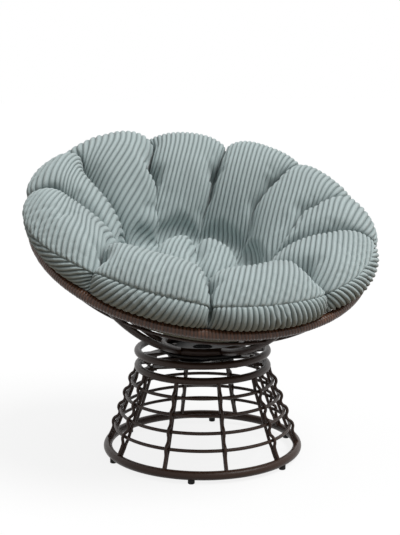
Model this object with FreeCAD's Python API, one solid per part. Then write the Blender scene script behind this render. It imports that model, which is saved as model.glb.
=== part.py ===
"""Swivel papasan chair: a caged base, a ball-bearing swivel, a tilted bowl of bent tube and a tufted cushion.

Millimetres. The origin is on the floor, on the swivel axis. +Z is up and the chair faces -Y.
Angles round the chair are in degrees from the front (-Y) towards +X.
"""
import FreeCAD, Part
import math
import os

from FreeCAD import Placement, Rotation, Vector

# Base cage
BASE_RING_R = 290.0        # floor ring, to the middle of its tube
BASE_TUBE_D = 26.0
TOP_RING_R = 196.0         # upper ring of the cage, and the seat ring above it
TOP_TUBE_D = 22.0
TOP_RING_Z = 272.5
TUBE_WALL = 1.5
HOOP_COUNT = 4
HOOP_D = 10.0
LOWEST_CELL = 1.38         # height of the lowest row of windows, in rows
UPRIGHT_COUNT = 10
STRAND_D = 9.5             # each upright is a straight strand behind the hoops and a wavy one over them
STRAND_GAP = 0.3
UPRIGHT_TURN = 28.0        # first upright, round from the front
FOOT_COUNT = 6
FOOT_TURN = 32.0           # first foot, round from the front
FOOT_D = 20.0
FOOT_H = 10.5
FOOT_SEAT = 3.0            # how far a foot cups the tube
FOOT_CHAMFER = 1.5
FOOT_SCREW_D = 4.0
FOOT_SCREW_HEAD_D = 8.0
FOOT_SCREW_HEAD_H = 3.0
FOOT_RECESS = 5.0          # depth of the screw head's counterbore
FOOT_SCREW_PROUD = 4.0     # how far the screw reaches inside the tube

# Crossbars and their fixings
BAR_W = 26.0
BAR_T = 5.0
BAR_OFFSET = 41.0          # middle of each bar to the swivel axis
BAR_TURN = -12.0           # direction of the base bars
BASE_BAR_LIFT = 4.0        # underside of the base bars above the middle of the top ring
BAR_END_GAP = 3.0
SEAT_BAR_DROP = 7.5        # middle of the seat bars below the middle of the seat ring
TAB_T = 4.0
TAB_REACH = 15.0           # tab beyond its bolt
TAB_BOLT_INSET = 30.0      # tab bolt in from the middle of the ring's tube
TAB_BOLT_D = 6.0
PLATE_BOLT_X = 75.0        # plate bolts along the bars
PLATE_BOLT_D = 8.0
HOLE_CLEAR = 0.2           # radial room round a bolt
NUT_CLEAR = 0.05
HEAD_RATIO = 1.65          # across the flats of a head or nut, in bolt diameters
HEAD_H_RATIO = 0.65
NUT_H_RATIO = 0.8

# Ball-bearing swivel
PLATE_SIDE = 190.0
PLATE_T = 3.0
PLATE_CORNER_R = 14.0
RACE_R = 60.0
RACE_W = 20.0
RACE_H = 9.0
RACE_GAP = 3.0
BALL_D = 10.0
BALL_COUNT = 24
BALL_CLEAR = 0.3
CAGE_T = 1.6
CAGE_W = 14.0
PIN_D = 16.0
PIN_CLEAR = 0.05           # running fit of the top plate on the king pin
PIN_HEAD_D = 26.0
PIN_HEAD_H = 5.0
PIN_NUT_AF = 24.0
PIN_NUT_H = 8.0
PIN_PROUD = 2.0
PIN_PLAY = 0.3

# Bowl
HUB_GAP = 3.0              # hub plate above the king pin
HUB_T = 5.0
HUB_RING_R = 120.0
HUB_TUBE_D = 24.0
HUB_HOLE_R = 30.0
SPACER_D = 16.0
RIB_COUNT = 6
RIB_START = 6.0            # first rib, round from the front
RIB_D = 20.0
RIB_BEND = 12.5            # half the turn of every rib
RIM_R = 499.5
RIM_Z = 656.0
RIM_TILT = 22.7            # the rim leans down at the front
RIM_BACK = 19.0            # middle of the rim behind the swivel axis
RIM_TUBE_D = 22.0
WRAP_T = 3.5               # wicker wound round the rim tube
WRAP_CLEAR = 0.1
BOWL_HOOP_D = 8.0
BOWL_HOOP_DROPS = (28.0, 74.0)          # down the ribs from the rim

# Cushion, as distance from the middle and height above the plane of the rim
CREASE_ANGLES = (-178, -141, -103, -55, -17, 20, 58, 95, 122, 151)
LOBE_LIFT = (0, 10, 0, 0, 0, 0, 0, 0, 0, -14)   # each lobe's crown, from the first crease on
CUSHION_CLEAR = 0.4
MIDDLE_TUFT = (30.0, -20.0)
LOBE_MOUND = (120.0, 12.0)
LOBE_DIP = (215.0, 0.0)
LOBE_INSIDE = (RIM_R - 199.5, 105.0)
LOBE_CROWN = (RIM_R - 99.5, 150.0)
LOBE_SHOULDER = (RIM_R - 29.5, 138.0)
LOBE_SEAM = (RIM_R + 10.5, 96.0)
LOBE_BULGE = (RIM_R + 33.5, 52.0)
CREASE_MOUND = (120.0, 0.0)
INNER_TUFT = (215.0, -28.0)
CREASE_INSIDE = (RIM_R - 199.5, 38.0)
OUTER_TUFT = (RIM_R - 109.5, 72.0)
CREASE_SHOULDER = (RIM_R - 44.5, 92.0)
CREASE_SEAM = (RIM_R - 7.5, 78.0)
CREASE_BULGE = (RIM_R + 8.5, 45.0)
BELLY_DROP = 200.0         # down the ribs from the rim to where the belly bends in
BELLY_CLEAR = 15.0         # belly above the ribs there
BELLY_MIDDLE = (30.0, -225.0)
RIM_HUG = (82.0, 120.0, 165.0)          # stretch of the rim that the cushion lies on, round its tube

# Worked-out places
UP = Vector(0, 0, 1)
ORIGIN = Vector(0, 0, 0)
BASE_RING_Z = FOOT_H + BASE_TUBE_D / 2
CELL = (TOP_RING_Z - BASE_RING_Z) / (HOOP_COUNT + LOWEST_CELL)
BASE_BAR_Z = TOP_RING_Z + BASE_BAR_LIFT
BASE_PLATE_Z = BASE_BAR_Z + BAR_T
LOWER_RACE_Z = BASE_PLATE_Z + PLATE_T
BALL_Z = LOWER_RACE_Z + RACE_H + RACE_GAP / 2
UPPER_RACE_Z = BALL_Z + RACE_GAP / 2
TOP_PLATE_Z = UPPER_RACE_Z + RACE_H
SEAT_BAR_Z = TOP_PLATE_Z + PLATE_T
SEAT_RING_Z = SEAT_BAR_Z + BAR_T / 2 + SEAT_BAR_DROP
PIN_TOP_Z = SEAT_BAR_Z + PIN_PLAY + PIN_NUT_H + PIN_PROUD
HUB_Z = PIN_TOP_Z + HUB_GAP
HUB_TOP_Z = HUB_Z + HUB_T
HUB_RING_Z = HUB_TOP_Z + HUB_TUBE_D / 2
HUB_R = HUB_RING_R + HUB_TUBE_D / 2
WRAP_D = RIM_TUBE_D + 2 * WRAP_T
RIM_PLACE = Placement(Vector(0, RIM_BACK, RIM_Z), Rotation(Vector(1, 0, 0), RIM_TILT))


def outward(angle):
    """Level unit vector away from the axis, at an angle round from the front."""
    turn = math.radians(angle)
    return Vector(math.sin(turn), -math.cos(turn), 0)


def turned(shape, angle):
    return shape.rotated(ORIGIN, UP, angle)


def ring_of(shape, count, start=0.0):
    """Copies of a piece made at the front, evenly round the axis."""
    return [turned(shape, start + 360.0 * k / count) for k in range(count)]


def rod_ring(radius, diameter, z):
    return Part.makeTorus(radius, diameter / 2, Vector(0, 0, z))


def tube_ring(radius, diameter, z, wall=TUBE_WALL):
    return rod_ring(radius, diameter, z).cut(rod_ring(radius, diameter - 2 * wall, z))


def disc(radius, height, x, y, z):
    return Part.makeCylinder(radius, height, Vector(x, y, z))


def hexagon(across_flats, height, x, y, z):
    corner = across_flats / math.sqrt(3)
    points = [
        Vector(x + corner * math.cos(math.radians(60 * k)), y + corner * math.sin(math.radians(60 * k)), z)
        for k in range(7)
    ]
    return Part.Face(Part.makePolygon(points)).extrude(Vector(0, 0, height))


def bolt(diameter, x, y, head_z, tip_z):
    """Hex bolt whose head bears at head_z and whose shank runs to tip_z, above or below."""
    head_h = diameter * HEAD_H_RATIO
    low_z = min(head_z, tip_z)
    shank = disc(diameter / 2, abs(tip_z - head_z), x, y, low_z)
    head = hexagon(diameter * HEAD_RATIO, head_h, x, y, head_z - head_h if tip_z > head_z else head_z)
    return head.fuse(shank).removeSplitter()


def nut(diameter, x, y, z, height, across_flats=None):
    body = hexagon(across_flats or diameter * HEAD_RATIO, height, x, y, z)
    return body.cut(disc(diameter / 2 + NUT_CLEAR, height, x, y, z))


# Base cage

def foot_and_screw():
    """One foot under the floor ring at the front, and the screw that holds it."""
    ring = rod_ring(BASE_RING_R, BASE_TUBE_D, BASE_RING_Z)
    body = disc(FOOT_D / 2, FOOT_H + FOOT_SEAT, 0, -BASE_RING_R, 0)
    floor_edges = [edge for edge in body.Edges if edge.BoundBox.ZMax < FOOT_CHAMFER]
    body = body.makeChamfer(FOOT_CHAMFER, floor_edges)
    body = body.cut(disc(FOOT_SCREW_HEAD_D / 2 + HOLE_CLEAR, FOOT_RECESS, 0, -BASE_RING_R, 0))
    body = body.cut(disc(FOOT_SCREW_D / 2 + HOLE_CLEAR, FOOT_H + FOOT_SEAT, 0, -BASE_RING_R, 0))
    head = disc(FOOT_SCREW_HEAD_D / 2, FOOT_SCREW_HEAD_H, 0, -BASE_RING_R, FOOT_RECESS - FOOT_SCREW_HEAD_H)
    shank_l = FOOT_H - FOOT_RECESS + TUBE_WALL + FOOT_SCREW_PROUD
    shank = disc(FOOT_SCREW_D / 2, shank_l, 0, -BASE_RING_R, FOOT_RECESS)
    return body.cut(ring), head.fuse(shank).removeSplitter()


def floor_ring():
    ring = tube_ring(BASE_RING_R, BASE_TUBE_D, BASE_RING_Z)
    hole = disc(FOOT_SCREW_D / 2 + NUT_CLEAR, FOOT_SEAT + TUBE_WALL, 0, -BASE_RING_R, FOOT_H - TUBE_WALL)
    return ring.cut(Part.Compound(ring_of(hole, FOOT_COUNT, FOOT_TURN)))


def cone_radius(z):
    share = (z - BASE_RING_Z) / (TOP_RING_Z - BASE_RING_Z)
    return BASE_RING_R + share * (TOP_RING_R - BASE_RING_R)


def hoop_heights():
    return [BASE_RING_Z + (LOWEST_CELL + k) * CELL for k in range(HOOP_COUNT)]


def arc_edge(start, tangent, end):
    """Arc from start to end that leaves along the tangent."""
    chord = end - start
    lean = tangent.getAngle(chord)
    aside = tangent * chord.dot(chord) / tangent.dot(chord) - chord
    aside.normalize()
    middle = start + chord / 2 + aside * chord.Length / 2 * math.tan(lean / 2)
    return Part.Arc(start, middle, end).toShape()


def s_bend(start, heading, end):
    """Two arcs from one point to another that leave and arrive along one heading."""
    middle = (start + end) / 2
    chord = middle - start
    if heading.getAngle(chord) < 1e-6:
        return [Part.LineSegment(start, end).toShape()]
    crossing = chord * (2 * heading.dot(chord) / chord.dot(chord)) - heading
    return [arc_edge(start, heading, middle), arc_edge(middle, crossing, end)]


def strand_places(side):
    """Heights, in rows, and outward offsets of the outer strand (1) or the inner one (-1) of an upright."""
    touch = (STRAND_D + STRAND_GAP) / 2 * side
    lap = ((STRAND_D + HOOP_D) / 2 + STRAND_GAP) * side
    lean = (HOOP_D + STRAND_GAP) / 2
    places = [(0, touch), (LOWEST_CELL - 0.5, touch - lean / 2)]
    for k in range(HOOP_COUNT):
        places += [(LOWEST_CELL + k, lap), (LOWEST_CELL + k + 0.5, touch - lean)]
    top_bend = (LOWEST_CELL + HOOP_COUNT - 0.5, touch - lean / 2)
    return places[:-1] + [top_bend, (LOWEST_CELL + HOOP_COUNT, touch)]


def strand(side):
    """One strand of the upright at the front, over each hoop (1) or behind them all (-1)."""
    foot = Vector(0, -BASE_RING_R, BASE_RING_Z)
    rise = Vector(0, -TOP_RING_R, TOP_RING_Z) - foot
    along = Vector(rise).normalize()
    proud = Vector(0, -along.z, along.y)
    row = rise / (LOWEST_CELL + HOOP_COUNT)
    points = [foot + row * level + proud * offset for level, offset in strand_places(side)]
    edges = []
    for start, end in zip(points, points[1:]):
        edges += s_bend(start, along, end)
    section = Part.Wire(Part.Circle(points[0], along, STRAND_D / 2).toShape())
    body = Part.Wire(edges).makePipeShell([section], True, False).removeSplitter()
    for radius, tube, z in ((BASE_RING_R, BASE_TUBE_D, BASE_RING_Z), (TOP_RING_R, TOP_TUBE_D, TOP_RING_Z)):
        body = body.cut(rod_ring(radius, tube, z))
    return body.Solids[0]


# Swivel

def bar_end_x(y):
    """Middle of the ring's tube, along a bar."""
    return math.sqrt(TOP_RING_R ** 2 - y ** 2)


def plate_bolt_places():
    return [(x * PLATE_BOLT_X, y * BAR_OFFSET) for x in (-1, 1) for y in (-1, 1)]


def tab_bolt_places():
    x = bar_end_x(BAR_OFFSET) - TAB_BOLT_INSET
    return [(i * x, j * BAR_OFFSET) for i in (-1, 1) for j in (-1, 1)]


def drilled(shape, places, diameter, low_z, high_z):
    holes = [disc(diameter / 2 + HOLE_CLEAR, high_z - low_z, x, y, low_z) for x, y in places]
    return shape.cut(Part.Compound(holes))


def base_bar(side):
    """Bar across the cage's top ring, bolted down on a tab at each end."""
    inner_r = TOP_RING_R - TOP_TUBE_D / 2
    reach = math.sqrt(inner_r ** 2 - (BAR_OFFSET + BAR_W / 2) ** 2) - BAR_END_GAP
    bar = Part.makeBox(2 * reach, BAR_W, BAR_T, Vector(-reach, side * BAR_OFFSET - BAR_W / 2, BASE_BAR_Z))
    bar = drilled(bar, plate_bolt_places(), PLATE_BOLT_D, BASE_BAR_Z, BASE_PLATE_Z)
    return turned(drilled(bar, tab_bolt_places(), TAB_BOLT_D, BASE_BAR_Z, BASE_PLATE_Z), BAR_TURN)


def base_tabs():
    ring = rod_ring(TOP_RING_R, TOP_TUBE_D, TOP_RING_Z)
    tabs = []
    for x, y in tab_bolt_places():
        inner = abs(x) - TAB_REACH
        length = bar_end_x(BAR_OFFSET) - inner
        left = inner if x > 0 else -inner - length
        tab = Part.makeBox(length, BAR_W, TAB_T, Vector(left, y - BAR_W / 2, BASE_BAR_Z - TAB_T))
        tab = drilled(tab, [(x, y)], TAB_BOLT_D, BASE_BAR_Z - TAB_T, BASE_BAR_Z).cut(ring)
        tabs.append(turned(tab, BAR_TURN))
    return tabs


def seat_bar(side):
    """Bar across the seat ring, welded to it at both ends."""
    reach = bar_end_x(BAR_OFFSET)
    bar = Part.makeBox(2 * reach, BAR_W, BAR_T, Vector(-reach, side * BAR_OFFSET - BAR_W / 2, SEAT_BAR_Z))
    bar = drilled(bar, plate_bolt_places(), PLATE_BOLT_D, SEAT_BAR_Z, SEAT_BAR_Z + BAR_T)
    return bar.cut(rod_ring(TOP_RING_R, TOP_TUBE_D, SEAT_RING_Z))


def swivel_plate(z):
    half = PLATE_SIDE / 2
    plate = Part.makeBox(PLATE_SIDE, PLATE_SIDE, PLATE_T, Vector(-half, -half, z))
    corners = [edge for edge in plate.Edges if edge.BoundBox.ZLength > PLATE_T / 2]
    plate = plate.makeFillet(PLATE_CORNER_R, corners)
    plate = plate.cut(disc(PIN_D / 2 + PIN_CLEAR, PLATE_T, 0, 0, z))
    return drilled(plate, plate_bolt_places(), PLATE_BOLT_D, z, z + PLATE_T)


def race(z):
    ring = disc(RACE_R + RACE_W / 2, RACE_H, 0, 0, z).cut(disc(RACE_R - RACE_W / 2, RACE_H, 0, 0, z))
    return ring.cut(rod_ring(RACE_R, BALL_D + 2 * BALL_CLEAR, BALL_Z))


def ball_cage():
    low_z = BALL_Z - CAGE_T / 2
    ring = disc(RACE_R + CAGE_W / 2, CAGE_T, 0, 0, low_z).cut(disc(RACE_R - CAGE_W / 2, CAGE_T, 0, 0, low_z))
    hole = disc(BALL_D / 2 + BALL_CLEAR, CAGE_T, 0, -RACE_R, low_z)
    return ring.cut(Part.Compound(ring_of(hole, BALL_COUNT)))


def king_pin():
    head = disc(PIN_HEAD_D / 2, PIN_HEAD_H, 0, 0, BASE_PLATE_Z - PIN_HEAD_H)
    shank = disc(PIN_D / 2, PIN_TOP_Z - BASE_PLATE_Z, 0, 0, BASE_PLATE_Z)
    return head.fuse(shank).removeSplitter()


# Bowl

def hub_plate():
    plate = disc(HUB_R, HUB_T, 0, 0, HUB_Z).cut(disc(HUB_HOLE_R, HUB_T, 0, 0, HUB_Z))
    return drilled(plate, plate_bolt_places(), PLATE_BOLT_D, HUB_Z, HUB_TOP_Z)


def spacer(x, y):
    z = SEAT_BAR_Z + BAR_T
    body = disc(SPACER_D / 2, HUB_Z - z, x, y, z)
    return drilled(body, [(x, y)], PLATE_BOLT_D, z, HUB_Z)


def rim_ring(diameter):
    ring = Part.makeTorus(RIM_R, diameter / 2)
    ring.Placement = RIM_PLACE
    return ring


def rim_reach(angle):
    """Distance from the axis and height of the rim, at an angle round the swivel axis."""
    turn = math.radians(angle)
    ahead = RIM_R * math.cos(turn)
    aside = RIM_R * math.cos(math.radians(RIM_TILT)) * math.sin(turn)
    round_rim = math.atan2(aside, ahead) - math.asin(RIM_BACK * math.sin(turn) / math.hypot(ahead, aside))
    local = Vector(RIM_R * math.sin(round_rim), -RIM_R * math.cos(round_rim), 0)
    place = RIM_PLACE.multVec(local)
    return math.hypot(place.x, place.y), place.z


def rib_arc(angle):
    """Radius of a rib, its slope where it leaves the hub, and its whole turn."""
    reach, height = rim_reach(angle)
    rise, run = height - HUB_RING_Z, reach - HUB_RING_R
    bend = math.radians(RIB_BEND)
    return math.hypot(rise, run) / (2 * math.sin(bend)), math.atan2(rise, run) - bend, 2 * bend


def rib_point(angle, drop):
    """Point on a rib's middle line, measured down it from the rim."""
    radius, slope, turn = rib_arc(angle)
    here = slope + turn - drop / radius
    out = HUB_RING_R + radius * (math.sin(here) - math.sin(slope))
    return outward(angle) * out + UP * (HUB_RING_Z + radius * (math.cos(slope) - math.cos(here)))


def rib_solid(angle, diameter):
    radius, slope, turn = rib_arc(angle)
    out = outward(angle)
    start = out * HUB_RING_R + UP * HUB_RING_Z
    heading = out * math.cos(slope) + UP * math.sin(slope)
    pivot = start + (UP * math.cos(slope) - out * math.sin(slope)) * radius
    section = Part.Face(Part.Wire(Part.Circle(start, heading, diameter / 2).toShape()))
    return section.revolve(pivot, out.cross(UP), math.degrees(turn))


def rib(angle):
    """Bent tube from the hub ring to the rim, with both ends cut to fit."""
    tube = rib_solid(angle, RIB_D).cut(rib_solid(angle, RIB_D - 2 * TUBE_WALL))
    tube = tube.cut(rim_ring(WRAP_D)).cut(rod_ring(HUB_RING_R, HUB_TUBE_D, HUB_RING_Z))
    return max(tube.Solids, key=lambda solid: solid.Volume)


def rib_angles():
    return [RIB_START + 360.0 * k / RIB_COUNT for k in range(RIB_COUNT)]


def bowl_hoop(drop, ribs):
    """Hoop of rods welded between the ribs, one drop below the rim."""
    circle = Part.Circle(*[rib_point(angle, drop) for angle in rib_angles()[::RIB_COUNT // 3]])
    hoop = Part.makeTorus(circle.Radius, BOWL_HOOP_D / 2, circle.Center, circle.Axis)
    return hoop.cut(Part.Compound(ribs)).Solids


# Cushion

def sewn_point(angle, place):
    return outward(angle) * place[0] + UP * place[1]


def hug_point(turn):
    """Point of the underside that lies on the wrapped rim."""
    lie = WRAP_D / 2 + CUSHION_CLEAR
    return RIM_R + lie * math.cos(math.radians(turn)), lie * math.sin(math.radians(turn))


def belly_point(angle):
    """Point of the underside that hangs close above the ribs."""
    radius, slope, turn = rib_arc(angle)
    here = slope + turn - BELLY_DROP / radius
    inward = UP * math.cos(here) - outward(angle) * math.sin(here)
    point = rib_point(angle, BELLY_DROP) + inward * (RIB_D / 2 + BELLY_CLEAR)
    local = RIM_PLACE.inverse().multVec(point)
    return math.hypot(local.x, local.y), local.z


def cushion_line(angle, top):
    """Open outline of the cushion in one radial plane, from the middle over the edge to the middle below."""
    outline = list(top) + [hug_point(turn) for turn in RIM_HUG] + [belly_point(angle), BELLY_MIDDLE]
    points = [sewn_point(angle, place) for place in outline]
    arcs = [Part.Arc(*points[k:k + 3]).toShape() for k in range(0, len(points) - 2, 2)]
    return Part.Wire(arcs)


def cushion():
    crease = (MIDDLE_TUFT, CREASE_MOUND, INNER_TUFT, CREASE_INSIDE, OUTER_TUFT, CREASE_SHOULDER, CREASE_SEAM,
              CREASE_BULGE)
    faces, rims = [], {MIDDLE_TUFT: [], BELLY_MIDDLE: []}
    for k, start in enumerate(CREASE_ANGLES):
        end = CREASE_ANGLES[k + 1] if k + 1 < len(CREASE_ANGLES) else CREASE_ANGLES[0] + 360
        crown = [MIDDLE_TUFT, LOBE_MOUND, LOBE_DIP]
        crown += [(out, up + LOBE_LIFT[k]) for out, up in (LOBE_INSIDE, LOBE_CROWN, LOBE_SHOULDER)]
        crown += [LOBE_SEAM, LOBE_BULGE]
        tops = ((start, crease), ((start + end) / 2, crown), (end, crease))
        lobe = Part.makeLoft([cushion_line(angle, top) for angle, top in tops], False, False)
        faces += lobe.Faces
        for place, edges in rims.items():
            edges += [edge for edge in lobe.Edges if lies_at(edge, place)]
    for edges in rims.values():
        faces.append(Part.Face(Part.Wire(Part.__sortEdges__(edges))))
    shell = Part.Shell(faces)
    shell.sewShape()
    body = Part.Solid(shell)
    if body.Volume < 0:
        body.reverse()
    body.Placement = RIM_PLACE
    return body


def lies_at(edge, place):
    """Whether an edge runs round the middle of the cushion at a sewn place."""
    ends = [vertex.Point for vertex in edge.Vertexes]
    on_circle = all(abs(math.hypot(p.x, p.y) - place[0]) < 0.01 and abs(p.z - place[1]) < 0.01 for p in ends)
    return on_circle and len(ends) == 2


def build():
    nodes = {}

    foot, screw = foot_and_screw()
    nodes["base_ring"] = floor_ring()
    nodes["base_top_ring"] = tube_ring(TOP_RING_R, TOP_TUBE_D, TOP_RING_Z)
    nodes["feet"] = ring_of(foot, FOOT_COUNT, FOOT_TURN)
    nodes["foot_screws"] = ring_of(screw, FOOT_COUNT, FOOT_TURN)
    for k, z in enumerate(hoop_heights()):
        nodes[f"base_hoop_{k + 1}"] = rod_ring(cone_radius(z), HOOP_D, z)
    strands = [ring_of(strand(side), UPRIGHT_COUNT, UPRIGHT_TURN) for side in (1, -1)]
    for k, pair in enumerate(zip(*strands)):
        nodes[f"upright_{k + 1:02d}"] = list(pair)

    nodes["base_tabs"] = base_tabs()
    nodes["base_crossbar_front"] = base_bar(-1)
    nodes["base_crossbar_rear"] = base_bar(1)
    tab_nut_h = TAB_BOLT_D * NUT_H_RATIO
    tab_low_z = BASE_BAR_Z - TAB_T
    tab_bolts = [bolt(TAB_BOLT_D, x, y, BASE_PLATE_Z, tab_low_z - tab_nut_h) for x, y in tab_bolt_places()]
    tab_nuts = [nut(TAB_BOLT_D, x, y, tab_low_z - tab_nut_h, tab_nut_h) for x, y in tab_bolt_places()]
    nodes["tab_bolts"] = [turned(piece, BAR_TURN) for piece in tab_bolts]
    nodes["tab_nuts"] = [turned(piece, BAR_TURN) for piece in tab_nuts]

    plate_nut_h = PLATE_BOLT_D * NUT_H_RATIO
    base_nut_z = BASE_BAR_Z - plate_nut_h
    base_bolts = [bolt(PLATE_BOLT_D, x, y, LOWER_RACE_Z, base_nut_z) for x, y in plate_bolt_places()]
    base_nuts = [nut(PLATE_BOLT_D, x, y, base_nut_z, plate_nut_h) for x, y in plate_bolt_places()]
    nodes["swivel_bottom_plate"] = turned(swivel_plate(BASE_PLATE_Z), BAR_TURN)
    nodes["lower_race"] = race(LOWER_RACE_Z)
    nodes["base_plate_bolts"] = [turned(piece, BAR_TURN) for piece in base_bolts]
    nodes["base_plate_nuts"] = [turned(piece, BAR_TURN) for piece in base_nuts]
    nodes["king_pin"] = king_pin()
    nodes["king_pin_nut"] = nut(PIN_D, 0, 0, SEAT_BAR_Z + PIN_PLAY, PIN_NUT_H, PIN_NUT_AF)
    nodes["ball_cage"] = ball_cage()
    nodes["bearing_balls"] = ring_of(Part.makeSphere(BALL_D / 2, Vector(0, -RACE_R, BALL_Z)), BALL_COUNT)

    nodes["upper_race"] = race(UPPER_RACE_Z)
    nodes["swivel_top_plate"] = swivel_plate(TOP_PLATE_Z)
    nodes["seat_ring"] = tube_ring(TOP_RING_R, TOP_TUBE_D, SEAT_RING_Z)
    nodes["seat_crossbar_front"] = seat_bar(-1)
    nodes["seat_crossbar_rear"] = seat_bar(1)
    nodes["seat_spacers"] = [spacer(x, y) for x, y in plate_bolt_places()]
    seat_tip_z = HUB_TOP_Z + plate_nut_h
    nodes["seat_bolts"] = [bolt(PLATE_BOLT_D, x, y, TOP_PLATE_Z, seat_tip_z) for x, y in plate_bolt_places()]
    nodes["seat_nuts"] = [nut(PLATE_BOLT_D, x, y, HUB_TOP_Z, plate_nut_h) for x, y in plate_bolt_places()]

    nodes["bowl_hub_plate"] = hub_plate()
    nodes["bowl_hub_ring"] = tube_ring(HUB_RING_R, HUB_TUBE_D, HUB_RING_Z)
    for k, angle in enumerate(rib_angles()):
        nodes[f"bowl_rib_{k + 1}"] = rib(angle)
    ribs = [rib_solid(angle, RIB_D) for angle in rib_angles()]
    for k, drop in enumerate(BOWL_HOOP_DROPS):
        nodes[f"bowl_hoop_{k + 1}"] = bowl_hoop(drop, ribs)
    nodes["rim_tube"] = rim_ring(RIM_TUBE_D).cut(rim_ring(RIM_TUBE_D - 2 * TUBE_WALL))
    nodes["rim_wrap"] = rim_ring(WRAP_D).cut(rim_ring(RIM_TUBE_D + 2 * WRAP_CLEAR))

    nodes["seat_cushion"] = cushion()
    return nodes


os.makedirs("parts", exist_ok=True)
for name, shape in build().items():
    piece = Part.Compound(shape) if isinstance(shape, list) else shape
    piece.exportStep(f"parts/{name}.step")
    print(name, len(piece.Solids), piece.isValid(), round(piece.Volume))
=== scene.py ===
"""Swivel papasan chair: the looks of the chair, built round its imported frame.

Lengths are metres. A place on the cushion or the rim is a distance from the bowl's middle line, an angle round the
rim from the front towards +X, and a height above the plane of the rim.
"""

import math

import bpy
import numpy as np
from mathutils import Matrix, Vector


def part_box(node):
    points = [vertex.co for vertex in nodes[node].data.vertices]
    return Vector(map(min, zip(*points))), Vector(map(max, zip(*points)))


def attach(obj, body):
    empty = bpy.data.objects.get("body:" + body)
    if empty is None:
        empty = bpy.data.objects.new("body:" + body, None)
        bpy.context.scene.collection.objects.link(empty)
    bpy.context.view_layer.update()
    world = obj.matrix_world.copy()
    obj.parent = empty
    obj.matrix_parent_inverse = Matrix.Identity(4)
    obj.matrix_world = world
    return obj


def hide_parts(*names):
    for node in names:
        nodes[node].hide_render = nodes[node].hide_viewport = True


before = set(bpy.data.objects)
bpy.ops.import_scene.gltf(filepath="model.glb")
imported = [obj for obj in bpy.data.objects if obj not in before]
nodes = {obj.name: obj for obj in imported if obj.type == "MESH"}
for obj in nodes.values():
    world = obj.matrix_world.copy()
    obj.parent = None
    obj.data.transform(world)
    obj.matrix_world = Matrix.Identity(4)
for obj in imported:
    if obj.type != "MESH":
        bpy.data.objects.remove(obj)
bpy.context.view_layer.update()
rng = np.random.default_rng(7)

# Camera, as the photograph was taken
IMAGE_W, IMAGE_H = 400, 535
FOCAL_PX = 1144.6
CAMERA_PLACE = (-1.2493, -3.1346, 1.1746)
CAMERA_TURN = -21.60
CAMERA_DOWN = 10.15
SENSOR = 36.0

# Rim and its wicker
RIM_TUBE_R = 0.011
WICKER_TURNS = 327
WICKER_OUTER_R = 0.0145
WICKER_GROOVE = 0.0017
WICKER_STEPS = 7           # points along the rim for each turn of the strand
WICKER_SIDES = 18
WICKER_INSET = 0.0003      # how far the strand stays inside its outer radius
WICKER_UNEVEN = 0.00018    # how much the turns differ in height
WICKER_TONES = (0.72, 1.22)

# Cushion creases, from the back over the left to the front and on over the right: the angle of each at the rim,
# how far it has turned at its tuft and at the ring round the middle mound, and where it turns towards that ring
CREASE_ANGLES = (-178, -139, -110, -58.5, -18, 24, 66, 92, 120, 151)
TUFT_TURNS = (7, 7, 3, -9, 0, 7, -2, -2, 1, 2)
RING_TURNS = (18, 9, 6, -24.5, -3, 12, -3, -27, -23, 10)
TURN_R = (0.30, 0.27, 0.27, 0.34, 0.27, 0.34, 0.27, 0.33, 0.27, 0.27)
TURN_WIDTH = 0.12
TUFT_BEND = (0.33, 0.47)

# Depth of each crease down the inside wall, at the ring and at the outside, and where these depths meet
CREASE_DEPTH = (0.55, 1.0, 0.8, 0.9, 0.9, 0.9, 0.9, 0.85, 0.9, 1.0)
RING_DEPTH = (0.1, 1.0, 0.25, 1.0, 0.25, 1.0, 0.25, 0.25, 1.0, 1.0)
NOTCH_DEPTH = (1.1, 0.6, 0.65, 1.9, 1.4, 1.6, 0.6, 0.6, 0.6, 1.2)
MOUND_R = (0.05, 0.14)     # over which the creases start
CLIMB_R = (0.20, 0.29)     # from the ring to the inside wall
CROWN_STEP = (-0.04, 0.02)  # from the inside wall to the outside, as seen from the tuft

# Cushion lobes, each after the crease of the same place: how full it stands between its creases, the lift of its
# crown, and how far out its inside wall stands
LOBE_POWER = (2.5, 3.0, 3.0, 5.0, 3.8, 3.0, 3.0, 3.0, 3.0, 2.5)
LOBE_LIFT = (0.010, 0.002, -0.006, 0.0, -0.008, -0.011, -0.004, -0.006, -0.001, -0.015)
LOBE_WALL = (0.0, 0.050, 0.046, 0.006, 0.0, 0.0, 0.0, 0.0, 0.0, 0.0)
LIFT_WIDTH = 0.11
WALL_R = 0.30
WALL_WIDTH = 0.115

# Cushion outlines from the middle of the top over the seam to the middle of the underside
MIDDLE = ((0.0, -0.041), (0.060, -0.038), (0.118, -0.060))
LOBE_TOP = ((0.160, -0.122), (0.218, -0.044), (0.300, 0.088), (0.400, 0.138), (0.470, 0.131), (0.510, 0.101))
CROWN_R = LOBE_TOP[3][0]
CREASE_TOP = ((0.160, -0.138), (0.218, -0.086), (0.300, -0.010), (0.390, 0.040), (0.456, 0.077), (0.487, 0.076))
LOBE_BULGE = (0.533, 0.054)
CREASE_BULGE = (0.496, 0.043)
MIDDLE_CREASE_TURN = -18.0
MIDDLE_CREASE_DEPTH = 0.040
MIDDLE_CREASE_WIDTH = 0.022
MIDDLE_CREASE_FADE = (0.11, 0.18)
SEAM_SHIFT = 27.0          # steps by which the seam lies lower at the sides and the back
SEAM_SHIFT_ANGLES = (50.0, 100.0)
SEAM_SHIFT_FROM = 0.8      # share of the flat disc from which on the cloth is shifted with it
HUG_CLEAR = 0.0006
LOBE_HUG = (82.0, 120.0, 165.0)
CREASE_HUG = (104.0, 132.0, 165.0)
BELLY = (0.338, -0.124)
BELLY_SAG = 0.016
BELLY_MIDDLE = (0.030, -0.222)
BELLY_END = (0.0, -0.223)
ARC_STEPS = 60
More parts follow.
